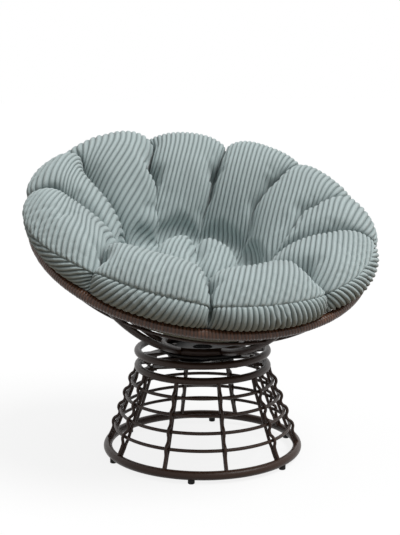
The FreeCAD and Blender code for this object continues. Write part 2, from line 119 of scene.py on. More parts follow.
SEAM_ARC = 4               # the seam lies after this many arcs
LOBE_ROUND = 0.48
OUTLINE_SOFTENING = 5      # steps over which kinks of the outline are rounded off
ARCH_POINTS = 400
HEART_DOWN = 0.1           # the inside of the cushion lies this far under the rim

# Tufts, one in each crease, and the depth and reach of each pit
TUFT_R = (0.320, 0.390, 0.390, 0.400, 0.400, 0.375, 0.390, 0.368, 0.368, 0.345)
TUFT_UP = 0.045
TUFT_LEAN = 0.33           # how far the tufts are pulled towards the outside
TUFT_PIT = (0.075, 0.065, 0.050, 0.050, 0.050, 0.062, 0.050, 0.050, 0.050, 0.060)
TUFT_PIT_R = (0.028, 0.042, 0.025, 0.025, 0.025, 0.034, 0.025, 0.025, 0.025, 0.028)
PUCKER_COUNT = 5           # folds that run out from each tuft
PUCKER_DEPTH = 0.0055
PUCKER_R = 0.050

# Cloth run: a coarse cover is blown up between its tufts and creases
CLOTH_SIDES = 240
CLOTH_TOP_ROWS = 64
CLOTH_BOTTOM_ROWS = 36
CLOTH_FRAMES = 22
CLOTH_PRESSURE = 4.0
CLOTH_SPARE = 0.018        # spare cloth, which wrinkles
CLOTH_CAP = 0.024
CLOTH_FABRIC = {"quality": 6, "mass": 0.3, "tension_stiffness": 20, "compression_stiffness": 20,
                "shear_stiffness": 8, "bending_stiffness": 0.8, "air_damping": 2, "pin_stiffness": 1}
CREASE_HOLD = 0.75
CREASE_HOLD_FROM = (0.25, 0.30)
CREASE_HOLD_SIDES = 1.05   # half widths of a coarse side within which a place lies on a crease
RING_HOLD_SIDES = 2.1
TUFT_HOLD_R = 0.012
REST_HOLD = 0.012          # how near the rim the underside is held
STRIP_HOLD = 0.6           # how firmly the strip under the seam is held, and the top panel close above it
STRIP_TOP = 0.120

# Corduroy
FLAT_SHARE = 0.5           # how much of the slope the flat cut follows
ARCH_RATIO = 0.35          # depth of a lobe over half its width
TOP_WALE = 0.0152
TOP_WALE_TURN = -30.0
BOTTOM_WALE = 0.0174
BOTTOM_WALE_TURN = -8.0
TOP_WALE_DEPTH = 0.0058
BOTTOM_WALE_DEPTH = 0.0072
WALE_POWER = 0.8           # from a half round to a soft wave
WALE_PLACES = (0.0, 0.07, 0.2, 0.36, 0.5, 0.64, 0.8, 0.93)
TOP_ROWS = 190
BOTTOM_ROWS = 140
ROW_CROWDING = 0.75
PANEL_TIPS = (0.0004, 0.0016)   # extra columns at the two ends of a panel, as shares of its radius
PANEL_TIPS_FROM = 0.0035
TOP_WALE_LEVEL = 0.5       # height on a wale that lies level with the shaped cushion
BOTTOM_WALE_LEVEL = 1.0
SEAM_WALE = 0.15           # share of a wale's height that is left at the seam
# Beside a crease the wales take the groove colour: painted shade along the crease.
CREASE_LINE = 0.013        # width along the cloth in which the wales lie flat and dark beside a crease
CREASE_LINE_R = (0.22, 0.30)
CREASE_LINE_STRIP = (0.05, 0.09)
SEAM_SINK = 0.006
SEAM_WIDTH = 0.0035

# Studio
SUN_LEVEL = 2.05
SUN_SPREAD = 34.0
SUN_WAY = (-0.35, 0.36, -0.87)
SKY_WAY = (0.10, -0.20, 0.97)   # from where the soft light is strongest
SKY_SPAN = (0.0, 1.0)
SKY_LOW = 0.03
SKY_HIGH = 0.80
FLOOR_SIZE = 60.0
FLOOR_SHADE = 0.15
FLOOR_BOUNCE = (0.15, 0.112, 0.075, 1)


# Bowl frame, read from the rim tube

rim_low, rim_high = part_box("rim_tube")
RIM_MIDDLE = np.array((rim_low + rim_high) / 2)
RIM_R = (rim_high.x - rim_low.x) / 2 - RIM_TUBE_R
RIM_TILT = math.asin(((rim_high.z - rim_low.z) / 2 - RIM_TUBE_R) / RIM_R)
RIM_BACK = np.array((0, math.cos(RIM_TILT), math.sin(RIM_TILT)))
RIM_UP = np.array((0, -math.sin(RIM_TILT), math.cos(RIM_TILT)))
RIM_ACROSS = np.array((1.0, 0, 0))
CUSHION_HEART = RIM_MIDDLE - HEART_DOWN * RIM_UP


def in_bowl(radius, angle, height):
    """Points of the part's frame for distances, angles in radians and heights in the bowl's frame."""
    aside = (radius * np.sin(angle))[..., None] * RIM_ACROSS
    ahead = (radius * np.cos(angle))[..., None] * RIM_BACK
    return RIM_MIDDLE + aside - ahead + np.asarray(height)[..., None] * RIM_UP


# Shader building blocks

def colour(red, green, blue):
    """Linear colour of an 8-bit sRGB one."""
    def linear(value):
        share = value / 255
        return share / 12.92 if share <= 0.04045 else ((share + 0.055) / 1.055) ** 2.4
    return linear(red), linear(green), linear(blue), 1.0


def node(tree, kind, inputs=None, **settings):
    made = tree.nodes.new(kind)
    for name, value in settings.items():
        setattr(made, name, value)
    for name, value in (inputs or {}).items():
        made.inputs[name].default_value = value
    return made


def join(tree, source, target):
    tree.links.new(source, target)


def new_group(name, inputs, outputs):
    tree = bpy.data.node_groups.new(name, "ShaderNodeTree")
    for label, kind in inputs:
        tree.interface.new_socket(label, in_out="INPUT", socket_type=kind)
    for label, kind in outputs:
        tree.interface.new_socket(label, in_out="OUTPUT", socket_type=kind)
    return tree, tree.nodes.new("NodeGroupInput"), tree.nodes.new("NodeGroupOutput")


def tone_drift_group():
    """A colour that drifts lighter and darker over the surface."""
    tree, start, end = new_group("tone_drift",
                                 [("Colour", "NodeSocketColor"), ("Scale", "NodeSocketFloat"),
                                  ("Amount", "NodeSocketFloat")],
                                 [("Colour", "NodeSocketColor")])
    place = node(tree, "ShaderNodeTexCoord")
    noise = node(tree, "ShaderNodeTexNoise", {"Detail": 4.0, "Roughness": 0.6})
    centred = node(tree, "ShaderNodeMath", {1: 0.5}, operation="SUBTRACT")
    spread = node(tree, "ShaderNodeMath", operation="MULTIPLY")
    lift = node(tree, "ShaderNodeMath", {1: 1.0}, operation="ADD")
    tint = node(tree, "ShaderNodeVectorMath", operation="SCALE")
    join(tree, place.outputs["Object"], noise.inputs["Vector"])
    join(tree, start.outputs["Scale"], noise.inputs["Scale"])
    join(tree, noise.outputs["Fac"], centred.inputs[0])
    join(tree, centred.outputs[0], spread.inputs[0])
    join(tree, start.outputs["Amount"], spread.inputs[1])
    join(tree, spread.outputs[0], lift.inputs[0])
    join(tree, start.outputs["Colour"], tint.inputs[0])
    join(tree, lift.outputs[0], tint.inputs["Scale"])
    join(tree, tint.outputs[0], end.inputs["Colour"])
    return tree


def fine_grain_group():
    """Height of a fine grain, from 0 to 1."""
    tree, start, end = new_group("fine_grain", [("Scale", "NodeSocketFloat"), ("Roughness", "NodeSocketFloat")],
                                 [("Height", "NodeSocketFloat")])
    place = node(tree, "ShaderNodeTexCoord")
    noise = node(tree, "ShaderNodeTexNoise", {"Detail": 3.0})
    join(tree, place.outputs["Object"], noise.inputs["Vector"])
    join(tree, start.outputs["Scale"], noise.inputs["Scale"])
    join(tree, start.outputs["Roughness"], noise.inputs["Roughness"])
    join(tree, noise.outputs["Fac"], end.inputs["Height"])
    return tree


TONE_DRIFT = tone_drift_group()
FINE_GRAIN = fine_grain_group()


def new_material(name, **shader_values):
    material = bpy.data.materials.new(name)
    material.use_nodes = True
    tree = material.node_tree
    shader = tree.nodes["Principled BSDF"]
    for label, value in shader_values.items():
        shader.inputs[label.replace("_", " ").title()].default_value = value
    return material, tree, shader


def use_group(tree, group, **values):
    made = node(tree, "ShaderNodeGroup", node_tree=group)
    for label, value in values.items():
        made.inputs[label.title()].default_value = value
    return made


def add_bump(tree, shader, height, distance, strength=1.0):
    bump = node(tree, "ShaderNodeBump", {"Distance": distance, "Strength": strength})
    join(tree, height, bump.inputs["Height"])
    join(tree, bump.outputs["Normal"], shader.inputs["Normal"])


def add_uneven_gloss(tree, shader, grain, low, high):
    spread = node(tree, "ShaderNodeMapRange", {"To Min": low, "To Max": high})
    join(tree, grain.outputs["Height"], spread.inputs["Value"])
    join(tree, spread.outputs["Result"], shader.inputs["Roughness"])


# Finishes

def coated_metal(name, paint, gloss, grain_scale, drift):
    """Powder coat: a dark paint with a fine orange peel."""
    material, tree, shader = new_material(name)
    shader.inputs["Specular IOR Level"].default_value = 0.24
    tone = use_group(tree, TONE_DRIFT, colour=paint, scale=9.0, amount=drift)
    grain = use_group(tree, FINE_GRAIN, scale=grain_scale, roughness=0.5)
    join(tree, tone.outputs["Colour"], shader.inputs["Base Color"])
    add_uneven_gloss(tree, shader, grain, gloss[0], gloss[1])
    add_bump(tree, shader, grain.outputs["Height"], 0.00015)
    return material


def bare_steel(name, metal, gloss):
    """Zinc-plated steel with a faintly uneven shine."""
    material, tree, shader = new_material(name, metallic=1.0)
    tone = use_group(tree, TONE_DRIFT, colour=metal, scale=60.0, amount=0.35)
    grain = use_group(tree, FINE_GRAIN, scale=420.0, roughness=0.7)
    join(tree, tone.outputs["Colour"], shader.inputs["Base Color"])
    add_uneven_gloss(tree, shader, grain, gloss[0], gloss[1])
    return material


def moulded_rubber(name, tint):
    material, tree, shader = new_material(name)
    shader.inputs["Specular IOR Level"].default_value = 0.3
    tone = use_group(tree, TONE_DRIFT, colour=tint, scale=30.0, amount=0.5)
    grain = use_group(tree, FINE_GRAIN, scale=900.0, roughness=0.6)
    join(tree, tone.outputs["Colour"], shader.inputs["Base Color"])
    add_uneven_gloss(tree, shader, grain, 0.65, 0.85)
    add_bump(tree, shader, grain.outputs["Height"], 0.0002)
    return material


def wicker(name, groove_shade, strand):
    """Wound strand: painted shade darkens the grooves between the turns, and each turn is a little different in
    tone.
    """
    material, tree, shader = new_material(name)
    shader.inputs["Specular IOR Level"].default_value = 0.34
    raised = node(tree, "ShaderNodeAttribute", attribute_name="raised")
    turn = node(tree, "ShaderNodeAttribute", attribute_name="turn_tone")
    # The groove colour is painted shade, laid where the strand sinks between its turns.
    mixed = node(tree, "ShaderNodeMix", {"A": groove_shade, "B": strand}, data_type="RGBA")
    toned = node(tree, "ShaderNodeVectorMath", operation="SCALE")
    drift = use_group(tree, TONE_DRIFT, scale=140.0, amount=0.5)
    grain = use_group(tree, FINE_GRAIN, scale=700.0, roughness=0.6)
    join(tree, raised.outputs["Fac"], mixed.inputs["Factor"])
    join(tree, mixed.outputs["Result"], toned.inputs[0])
    join(tree, turn.outputs["Fac"], toned.inputs["Scale"])
    join(tree, toned.outputs[0], drift.inputs["Colour"])
    join(tree, drift.outputs["Colour"], shader.inputs["Base Color"])
    add_uneven_gloss(tree, shader, grain, 0.18, 0.30)
    add_bump(tree, shader, grain.outputs["Height"], 0.0002)
    return material


def corduroy(name, groove_shade, crest):
    """Wide-wale corduroy: pile on the wales, and between them a darker colour that is partly the ground and partly
    painted shade.
    """
    material, tree, shader = new_material(name, sheen_weight=0.25, sheen_roughness=0.45)
    shader.inputs["Specular IOR Level"].default_value = 0.12
    wale = node(tree, "ShaderNodeAttribute", attribute_name="wale")
    # The groove colour between the wales is partly the ground and partly painted shade; along the creases it is
    # painted shade only.
    mixed = node(tree, "ShaderNodeMix", {"A": groove_shade, "B": crest}, data_type="RGBA")
    drift = use_group(tree, TONE_DRIFT, scale=7.0, amount=0.16)
    pile = use_group(tree, TONE_DRIFT, scale=420.0, amount=0.42)
    grain = use_group(tree, FINE_GRAIN, scale=1500.0, roughness=0.7)
    join(tree, wale.outputs["Fac"], mixed.inputs["Factor"])
    join(tree, mixed.outputs["Result"], drift.inputs["Colour"])
    join(tree, drift.outputs["Colour"], pile.inputs["Colour"])
    join(tree, pile.outputs["Colour"], shader.inputs["Base Color"])
    add_uneven_gloss(tree, shader, grain, 0.85, 1.0)
    add_bump(tree, shader, grain.outputs["Height"], 0.0006)
    return material


FRAME_PAINT = coated_metal("frame_paint", colour(58, 40, 31), (0.28, 0.42), 1400.0, 0.35)
SWIVEL_PAINT = coated_metal("swivel_paint", colour(30, 28, 27), (0.38, 0.55), 1400.0, 0.25)
BEARING_STEEL = bare_steel("bearing_steel", colour(190, 190, 188), (0.14, 0.30))
FIXING_STEEL = bare_steel("fixing_steel", colour(84, 80, 76), (0.28, 0.46))
FOOT_RUBBER = moulded_rubber("foot_rubber", colour(26, 25, 24))
# Wicker: painted shade in the grooves between the turns, and the strand's own brown on the turns.
WICKER = wicker("wicker", colour(20, 12, 9), colour(110, 76, 58))
# Corduroy: the groove colour is partly the ground and partly painted shade, and it also paints shade along the
# creases.
CORDUROY = corduroy("corduroy", colour(118, 131, 131), colour(181, 194, 194))

NODE_FINISH = {
    "feet": FOOT_RUBBER,
    "foot_screws": FIXING_STEEL, "tab_bolts": FIXING_STEEL, "tab_nuts": FIXING_STEEL,
    "base_plate_bolts": FIXING_STEEL, "base_plate_nuts": FIXING_STEEL, "seat_bolts": FIXING_STEEL,
    "seat_nuts": FIXING_STEEL, "king_pin": FIXING_STEEL, "king_pin_nut": FIXING_STEEL,
    "bearing_balls": BEARING_STEEL, "ball_cage": BEARING_STEEL, "lower_race": BEARING_STEEL,
    "upper_race": BEARING_STEEL,
    "swivel_bottom_plate": SWIVEL_PAINT, "swivel_top_plate": SWIVEL_PAINT, "seat_spacers": SWIVEL_PAINT,
    "bowl_hub_plate": SWIVEL_PAINT,
}


def finish_nodes():
    for name, piece in nodes.items():
        piece.data.materials.clear()
        piece.data.materials.append(NODE_FINISH.get(name, FRAME_PAINT))


# Mesh building

def grid_faces(columns, rows, first=0, flip=False):
    """Quads of a grid of points that is stored column by column."""
    corner = first + (np.arange(columns - 1)[:, None] * rows + np.arange(rows - 1)[None, :])
    quads = np.stack([corner, corner + rows, corner + rows + 1, corner + 1], axis=-1).reshape(-1, 4)
    return quads[:, ::-1] if flip else quads


def new_piece(name, points, faces, material, **marks):
    mesh = bpy.data.meshes.new(name)
    mesh.from_pydata(points.tolist(), [], faces)
    mesh.polygons.foreach_set("use_smooth", np.ones(len(mesh.polygons), bool))
    for label, values in marks.items():
        mesh.attributes.new(label, "FLOAT", "POINT").data.foreach_set("value", values.astype(np.float32))
    mesh.materials.append(material)
    mesh.update()
    piece = bpy.data.objects.new(name, mesh)
    bpy.context.scene.collection.objects.link(piece)
    return piece


def grid_normals(points):
    """Unit normals of a grid of points that point away from the cushion's inside."""
    normal = np.cross(np.gradient(points, axis=1), np.gradient(points, axis=0))
    normal /= np.maximum(np.linalg.norm(normal, axis=-1, keepdims=True), 1e-12)
    middle = points.shape[0] // 2, points.shape[1] // 2
    outside = np.sign(normal[middle] @ (points[middle] - CUSHION_HEART))
    return normal * outside


# Wicker

def wicker_rim():
    """One strand wound round the rim tube, turn beside turn."""
    count = WICKER_TURNS * WICKER_STEPS
    along = np.arange(count)[:, None] / WICKER_STEPS
    around = np.arange(WICKER_SIDES)[None, :] / WICKER_SIDES
    phase = along + around
    across = 2 * (phase % 1.0) - 1
    raised = 1 - np.abs(across) ** 3
    turn = np.floor(phase).astype(int) % WICKER_TURNS
    swell = rng.normal(0, WICKER_UNEVEN, WICKER_TURNS)[turn]
    tone = rng.uniform(*WICKER_TONES, WICKER_TURNS)[turn]
    reach = WICKER_OUTER_R - WICKER_INSET - WICKER_GROOVE * (1 - raised) + swell * raised
    angle = along * (2 * np.pi / WICKER_TURNS) + 0 * around
    lean = 2 * np.pi * around + 0 * along
    points = in_bowl(RIM_R + reach * np.cos(lean), angle, reach * np.sin(lean))
    ring = np.arange(count)
    side = np.arange(WICKER_SIDES)
    here = ring[:, None] * WICKER_SIDES
    ahead = ((ring + 1) % count)[:, None] * WICKER_SIDES
    beside = (side + 1) % WICKER_SIDES
    # The turn count grows by one where the tube's sides close, so the strand runs on without a step.
    quads = np.stack([here + side, ahead + side, ahead + beside, here + beside], axis=-1).reshape(-1, 4)
    # The raised mark also colours the strand: painted shade where it lies low between turns.
    piece = new_piece("rim_wicker", points.reshape(-1, 3), quads.tolist(), WICKER,
                      raised=raised.ravel(), turn_tone=tone.ravel())
    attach(piece, "seat")
    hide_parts("rim_wrap")
    return piece


# Cushion

def arc_through(start, middle, end, steps):
    """Points of the circle arc through three places, without the last one."""
    (ax, ay), (bx, by), (cx, cy) = start, middle, end
    turn = 2 * (ax * (by - cy) + bx * (cy - ay) + cx * (ay - by))
    a2, b2, c2 = ax * ax + ay * ay, bx * bx + by * by, cx * cx + cy * cy
    ox = (a2 * (by - cy) + b2 * (cy - ay) + c2 * (ay - by)) / turn
    oy = (a2 * (cx - bx) + b2 * (ax - cx) + c2 * (bx - ax)) / turn
    angles = [math.atan2(y - oy, x - ox) for x, y in (start, middle, end)]
    first = (angles[1] - angles[0] + math.pi) % (2 * math.pi) - math.pi
    second = (angles[2] - angles[1] + math.pi) % (2 * math.pi) - math.pi
    sweep = angles[0] + (first + second) * np.arange(steps) / steps
    reach = math.hypot(ax - ox, ay - oy)
    return np.stack([ox + reach * np.cos(sweep), oy + reach * np.sin(sweep)], axis=1)


def softened(line, width):
    """A line of points with its kinks rounded off, its two ends kept."""
    spread = np.arange(-3 * width, 3 * width + 1)
    weight = np.exp(-0.5 * (spread / width) ** 2)
    weight /= weight.sum()
    before = 2 * line[0] - line[3 * width:0:-1]
    after = 2 * line[-1] - line[-2:-3 * width - 2:-1]
    padded = np.concatenate([before, line, after])
    return np.stack([np.convolve(padded[:, k], weight, "valid") for k in (0, 1)], axis=1)


def hug_place(turn):
    lie = WICKER_OUTER_R + HUG_CLEAR
    return RIM_R + lie * math.cos(math.radians(turn)), lie * math.sin(math.radians(turn))


def cushion_outline(top, bulge, hug_turns, sag):
    """Half section of the cushion, from the middle of its top to the middle of its underside."""
    hug = [hug_place(turn) for turn in hug_turns]
    belly = (BELLY[0], BELLY[1] - sag)
    places = [*MIDDLE, *top, bulge, *hug, belly, BELLY_MIDDLE]
    arcs = [arc_through(*places[k:k + 3], ARC_STEPS) for k in range(0, len(places) - 2, 2)]
    return softened(np.concatenate(arcs + [[BELLY_MIDDLE, BELLY_END]]), OUTLINE_SOFTENING)


class Panel:
    """One sewn panel of the cushion: its outline tables and the flat disc that it was cut from."""

    def __init__(self, top):
        self.top = top
        self.wale, wale_turn, self.wale_depth, self.rows = (
            (TOP_WALE, TOP_WALE_TURN, TOP_WALE_DEPTH, TOP_ROWS) if top else
            (BOTTOM_WALE, BOTTOM_WALE_TURN, BOTTOM_WALE_DEPTH, BOTTOM_ROWS))
        self.wale_turn = math.radians(wale_turn)
        sags = BELLY_SAG, -BELLY_SAG
        self.lobe = [cushion_outline(LOBE_TOP, LOBE_BULGE, LOBE_HUG, sag) for sag in sags]
        self.crease = [cushion_outline(CREASE_TOP, CREASE_BULGE, CREASE_HUG, sag) for sag in sags]
        seam = SEAM_ARC * ARC_STEPS
        self.line = np.arange(seam + 1) if top else np.arange(len(self.lobe[0]) - 1, seam - 1, -1)
        outline = self.lobe[0][self.line]
        steps = np.linalg.norm(np.diff(outline, axis=0), axis=1)
        length = np.concatenate([[0], np.cumsum(steps)])
        reach = np.maximum.accumulate(outline[:, 0])
        share = FLAT_SHARE if top else 1.0
        self.flat = (1 - share) * reach + share * length
        self.flat += np.linspace(0, 1e-6, len(self.flat))
        self.disc_r = self.flat[-1]

    def read(self, tables, flat_r, flat_angle):
        """Distances and heights from two tables, one for the front and one for the back."""
        off_front = np.abs((flat_angle + np.pi) % (2 * np.pi) - np.pi)
        near_seam = ramp(flat_r, SEAM_SHIFT_FROM * self.disc_r, self.disc_r)
        shift = ramp(off_front, *np.radians(SEAM_SHIFT_ANGLES)) * near_seam
        place = np.interp(flat_r, self.flat, self.line) + SEAM_SHIFT * shift
        front = (1 + np.cos(flat_angle)) / 2
        at = np.arange(len(tables[0]))
        values = [[np.interp(place, at, table[:, k]) for k in (0, 1)] for table in tables]
        return [front * values[0][k] + (1 - front) * values[1][k] for k in (0, 1)]

    def surface(self, flat_r, flat_angle):
        """Points of the sewn panel before the cloth run, for places on the flat disc."""
        lobe_r, lobe_h = self.read(self.lobe, flat_r, flat_angle)
        crease_r, crease_h = self.read(self.crease, flat_r, flat_angle)
        lobe, across, angle, _ = lobe_places(flat_angle, lobe_r)
        fall = 1 - np.maximum(1 - np.abs(across) ** np.array(LOBE_POWER)[lobe], 0) ** LOBE_ROUND
        side = np.where(across < 0, lobe, (lobe + 1) % len(CREASE_ANGLES))
        notch = np.array(NOTCH_DEPTH)[side]
        if not self.top:
            fall = fall * notch
            return in_bowl(lobe_r + fall * (crease_r - lobe_r), angle, lobe_h + fall * (crease_h - lobe_h))
        lobe_h = lobe_h + np.array(LOBE_LIFT)[lobe] * np.exp(-((lobe_r - CROWN_R) / LIFT_WIDTH) ** 2)
        inside = np.array(CREASE_DEPTH)[side]
        tuft_r = np.array(TUFT_R)[side]
        crown = ramp(lobe_r, tuft_r + CROWN_STEP[0], tuft_r + CROWN_STEP[1])
        wall = inside + (notch - inside) * crown
        climb = ramp(lobe_r, *CLIMB_R)
        fall = fall * ramp(lobe_r, *MOUND_R) * (climb * wall + (1 - climb) * np.array(RING_DEPTH)[side])
        middles = np.array(CREASE_ANGLES) + np.diff(CREASE_ANGLES + (CREASE_ANGLES[0] + 360,)) / 2
        wall_out = np.interp(np.degrees(angle), middles, LOBE_WALL, period=360)
        radius = lobe_r + fall * (crease_r - lobe_r)
        radius = radius + wall_out * np.exp(-((radius - WALL_R) / WALL_WIDTH) ** 2)
        height = lobe_h + fall * (crease_h - lobe_h)
        aside = radius * np.sin(angle - math.radians(MIDDLE_CREASE_TURN))
        dent = np.exp(-(aside / MIDDLE_CREASE_WIDTH) ** 2) * (1 - ramp(radius, *MIDDLE_CREASE_FADE))
        return pulled_in(in_bowl(radius, angle, height - MIDDLE_CREASE_DEPTH * dent))


def ramp(value, low, high):
    """0 below low, 1 above high and a smooth rise between."""
    share = np.clip((value - low) / (high - low), 0, 1)
    return share * share * (3 - 2 * share)


def arch_table():
    """Even steps along an elliptic arch, as places across it from -1 to 1."""
    turn = np.linspace(0, np.pi, ARCH_POINTS)
    along, up = -np.cos(turn), ARCH_RATIO * np.sin(turn)
    length = np.concatenate([[0], np.cumsum(np.hypot(np.diff(along), np.diff(up)))])
    return 2 * length / length[-1] - 1, along


def crease_angles(radius):
    """Angles of the creases, first to first, at distances from the bowl's middle line."""
    shape = np.asarray(radius)[..., None]
    outside = ramp(shape, *TUFT_BEND)
    inside = 1 - ramp(shape, np.array(TURN_R) - TURN_WIDTH, np.array(TURN_R))
    turns = inside * np.array(RING_TURNS) + (1 - inside) * (1 - outside) * np.array(TUFT_TURNS)
    edges = np.radians(np.array(CREASE_ANGLES) + turns)
    return np.concatenate([edges, edges[..., :1] + 2 * np.pi], axis=-1)


def lobe_places(angle, radius):
    """For places of the flat cut: lobe, place across it from -1 to 1, angle, and angle off the nearest crease."""
    edges = crease_angles(radius)
    turned = (angle - edges[..., 0]) % (2 * np.pi) + edges[..., 0]
    lobe = np.clip((turned[..., None] >= edges[..., :-1]).sum(axis=-1) - 1, 0, len(CREASE_ANGLES) - 1)
    low = np.take_along_axis(edges, lobe[..., None], axis=-1)[..., 0]
    high = np.take_along_axis(edges, lobe[..., None] + 1, axis=-1)[..., 0]
    half, middle = (high - low) / 2, (high + low) / 2
    even, along = arch_table()
    across = np.interp((turned - middle) / half, even, along)
    return lobe, across, middle + across * half, half - np.abs(turned - middle)


def tuft_places():
    """Places of the outer tufts, one in each crease, and the way each is pulled."""
    radii = np.array(TUFT_R)
    angles = np.diag(crease_angles(radii)[:, :-1])
    outward = in_bowl(np.ones(len(angles)), angles, np.zeros(len(angles))) - RIM_MIDDLE
    return in_bowl(radii, angles, TUFT_UP + 0 * radii), TUFT_LEAN * outward - RIM_UP


def pulled_in(points):
    """Points with the pits of the outer tufts sunk into them, and with the folds round each."""
    moved = points.copy()
    for number, (tuft, pull, depth, reach) in enumerate(zip(*tuft_places(), TUFT_PIT, TUFT_PIT_R)):
        away = points - tuft
        distance = np.linalg.norm(away, axis=-1, keepdims=True)
        outward = pull + RIM_UP
        outward = outward / np.linalg.norm(outward)
        turn = np.arctan2(away @ np.cross(RIM_UP, outward), away @ outward)[..., None]
        fold = np.cos(PUCKER_COUNT * turn + number) * (distance / PUCKER_R) * np.exp(-(distance / PUCKER_R) ** 2)
        moved += depth * np.exp(-(distance / reach) ** 2) * pull + PUCKER_DEPTH * fold * RIM_UP
    return moved


def cloth_moves(top, bottom):
    """How far a cloth run moves each point of the two panels' coarse grids, by row and side."""
    sides = np.arange(CLOTH_SIDES) * 2 * np.pi / CLOTH_SIDES
    grids = []
    for panel, rows in ((top, CLOTH_TOP_ROWS), (bottom, CLOTH_BOTTOM_ROWS)):
        flat_r = np.linspace(0, panel.disc_r, rows + 1)[1:, None] + 0 * sides
        grids.append((flat_r, panel.surface(flat_r, sides + 0 * flat_r)))
    (top_r, top_points), (_, low_points) = grids
    points = np.concatenate([top_points.reshape(-1, 3), low_points[-2::-1].reshape(-1, 3),
                             in_bowl(np.zeros(2), np.zeros(2), np.array((MIDDLE[0][1], BELLY_END[1])))])
    rings = CLOTH_TOP_ROWS + CLOTH_BOTTOM_ROWS - 1
    here = np.arange(rings - 1)[:, None] * CLOTH_SIDES + np.arange(CLOTH_SIDES)
    beside = np.arange(rings - 1)[:, None] * CLOTH_SIDES + (np.arange(CLOTH_SIDES) + 1) % CLOTH_SIDES
    quads = np.stack([here, here + CLOTH_SIDES, beside + CLOTH_SIDES, beside], axis=-1).reshape(-1, 4).tolist()
    last = (rings - 1) * CLOTH_SIDES
    caps = [(k, (k + 1) % CLOTH_SIDES, len(points) - 2) for k in range(CLOTH_SIDES)]
    caps += [(last + (k + 1) % CLOTH_SIDES, last + k, len(points) - 1) for k in range(CLOTH_SIDES)]
    hold = np.concatenate([held_top(top, top_r, sides, top_points).ravel(),
                           held_bottom(low_points)[-2::-1].ravel(), [1, 1]])
    moves = blown_up(points, quads + caps, hold) - points
    far = np.linalg.norm(moves, axis=1, keepdims=True)
    moves *= np.minimum(1, CLOTH_CAP / np.maximum(far, 1e-9))
    top_moves = moves[:top_points.size // 3].reshape(top_points.shape)
    low_moves = np.concatenate([moves[top_points.size // 3:-2].reshape(-1, CLOTH_SIDES, 3)[::-1], top_moves[-1:]])
    return top_moves, low_moves


def held_top(panel, flat_r, sides, points):
    """How firmly the top panel is held: at the tufts, along the creases, in the middle and at the seam."""
    turned = sides + 0 * flat_r
    off_crease = lobe_places(turned, panel.read(panel.lobe, flat_r, turned)[0])[3]
    on_crease = off_crease < CREASE_HOLD_SIDES * np.pi / CLOTH_SIDES
    hold = np.where(on_crease, CREASE_HOLD * ramp(flat_r, *CREASE_HOLD_FROM), 0)
    ring_r = np.interp(LOBE_TOP[0][0], panel.lobe[0][panel.line, 0], panel.flat)
    for tuft, pull, depth in zip(*tuft_places(), TUFT_PIT):
        near = np.linalg.norm(points - tuft - depth * pull, axis=-1)
        hold[near < TUFT_HOLD_R] = 1
    ring = np.abs(flat_r - ring_r) < panel.disc_r / CLOTH_TOP_ROWS
    ends = np.zeros(len(sides), bool)
    for k, ring_depth in enumerate(RING_DEPTH):
        if ring_depth == 1.0:
            turn = np.abs((sides - math.radians(CREASE_ANGLES[k] + RING_TURNS[k]) + np.pi) % (2 * np.pi) - np.pi)
            ends |= turn < RING_HOLD_SIDES * np.pi / CLOTH_SIDES
    hold[ring] = CREASE_HOLD
    hold[ring & ends] = 1
    return np.maximum(hold, STRIP_HOLD * ramp(flat_r, panel.disc_r - STRIP_TOP, panel.disc_r))


def held_bottom(points):
    """The underside is held wherever it lies in the bowl."""
    local = points - RIM_MIDDLE
    up = local @ RIM_UP
    return np.where(up < WICKER_OUTER_R + REST_HOLD, 1.0, STRIP_HOLD)


def blown_up(points, faces, hold):
    """Places of a closed cover after a short cloth run under pressure."""
    cover = new_piece("cloth_run", points, faces, CORDUROY)
    group = cover.vertex_groups.new(name="hold")
    for weight in np.unique(np.round(hold, 2)):
        if weight > 0:
            group.add(np.nonzero(np.round(hold, 2) == weight)[0].tolist(), float(weight), "REPLACE")
    cloth = cover.modifiers.new("cloth", "CLOTH")
    fabric = cloth.settings
    for setting, value in CLOTH_FABRIC.items():
        setattr(fabric, setting, value)
    fabric.use_pressure = True
    fabric.uniform_pressure_force = CLOTH_PRESSURE
    fabric.shrink_min = -CLOTH_SPARE
    fabric.vertex_group_mass = "hold"
    fabric.effector_weights.gravity = 0
    cloth.collision_settings.use_collision = False
    cloth.point_cache.frame_end = CLOTH_FRAMES
    scene = bpy.context.scene
    for frame_number in range(1, CLOTH_FRAMES + 1):
        scene.frame_set(frame_number)
    blown = cover.evaluated_get(bpy.context.evaluated_depsgraph_get())
    places = np.empty(len(points) * 3, np.float32)
    blown.data.vertices.foreach_get("co", places)
    bpy.data.objects.remove(cover)
    scene.frame_set(1)
    return places.reshape(-1, 3).astype(float)


def fine_grid(panel):
    """Columns along the wales over the flat disc: flat radius, flat angle and height on the wale, from 0 to 1."""
    count = int(panel.disc_r / panel.wale) + 1
    places = (np.arange(-count, count)[:, None] + np.array(WALE_PLACES)[None, :]).ravel() * panel.wale
    tips = panel.disc_r * (1 - np.array(PANEL_TIPS))
    inside = places[np.abs(places) < panel.disc_r * (1 - PANEL_TIPS_FROM)]
    columns = np.concatenate([-tips, inside, tips[::-1]])
    bent = np.sin(np.linspace(-1, 1, panel.rows) * ROW_CROWDING * np.pi / 2) / math.sin(ROW_CROWDING * np.pi / 2)
    x = columns[:, None] + 0 * bent[None, :]
    y = np.sqrt(panel.disc_r ** 2 - columns ** 2)[:, None] * bent[None, :]
    across = 2 * ((columns / panel.wale) % 1.0) - 1
    wale = ((1 - across ** 2) ** WALE_POWER)[:, None] + 0 * y
    turn = panel.wale_turn
    angle = np.arctan2(y * math.sin(turn) + x * math.cos(turn), y * math.cos(turn) - x * math.sin(turn))
    return np.hypot(x, y), angle, wale


